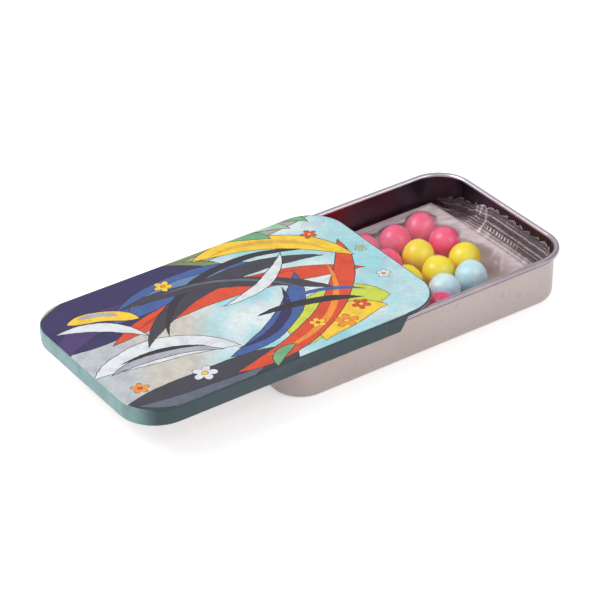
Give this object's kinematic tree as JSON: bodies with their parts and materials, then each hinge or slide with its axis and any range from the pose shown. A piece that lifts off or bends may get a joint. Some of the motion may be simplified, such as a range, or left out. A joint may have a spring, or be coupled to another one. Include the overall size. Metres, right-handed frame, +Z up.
{
  "type": "slide lid tin",
  "caption": "Flat pocket tin: a drawn tray with a curled rim, a printed lid that slides along it on rolled rails, and a clear sachet of round sweets.",
  "frame": {"origin": "centre of the tray's flat underside", "axes": "+X along the tin towards the end that the open lid uncovers, +Z up out of the tray"},
  "size_m": [0.116, 0.05, 0.0137],
  "materials": {
    "tray_metal": "satin",
    "lid_print": "gloss",
    "clear_film": "gloss",
    "pink_sweet": "satin",
    "yellow_sweet": "satin",
    "blue_sweet": "satin"
  },
  "bodies": {
    "tray": {"tray": "tray_metal", "sachet": "clear_film", "sweet_01": "pink_sweet", "sweet_02": "pink_sweet", "sweet_03": "pink_sweet", "sweet_04": "yellow_sweet", "sweet_05": "blue_sweet", "sweet_06": "yellow_sweet", "sweet_07": "pink_sweet", "sweet_08": "pink_sweet", "sweet_09": "yellow_sweet", "sweet_10": "pink_sweet", "sweet_11": "blue_sweet", "sweet_12": "pink_sweet", "sweet_13": "yellow_sweet", "sweet_14": "blue_sweet", "sweet_15": "yellow_sweet", "sweet_16": "yellow_sweet", "sweet_17": "yellow_sweet", "sweet_18": "blue_sweet", "sweet_19": "pink_sweet", "sweet_20": "blue_sweet", "sweet_21": "yellow_sweet", "sweet_22": "blue_sweet", "sweet_23": "blue_sweet", "sweet_24": "pink_sweet", "sweet_25": "yellow_sweet", "sweet_26": "blue_sweet", "sweet_27": "blue_sweet", "sweet_28": "pink_sweet", "sweet_29": "yellow_sweet", "sweet_30": "blue_sweet", "sweet_31": "pink_sweet"},
    "lid": {"lid": "lid_print"}
  },
  "joints": [
    {"name": "lid_slide", "type": "slide", "parent": "tray", "child": "lid", "axis": [-1, 0, 0], "range_m": [-0.0365, 0.014]}
  ]
}
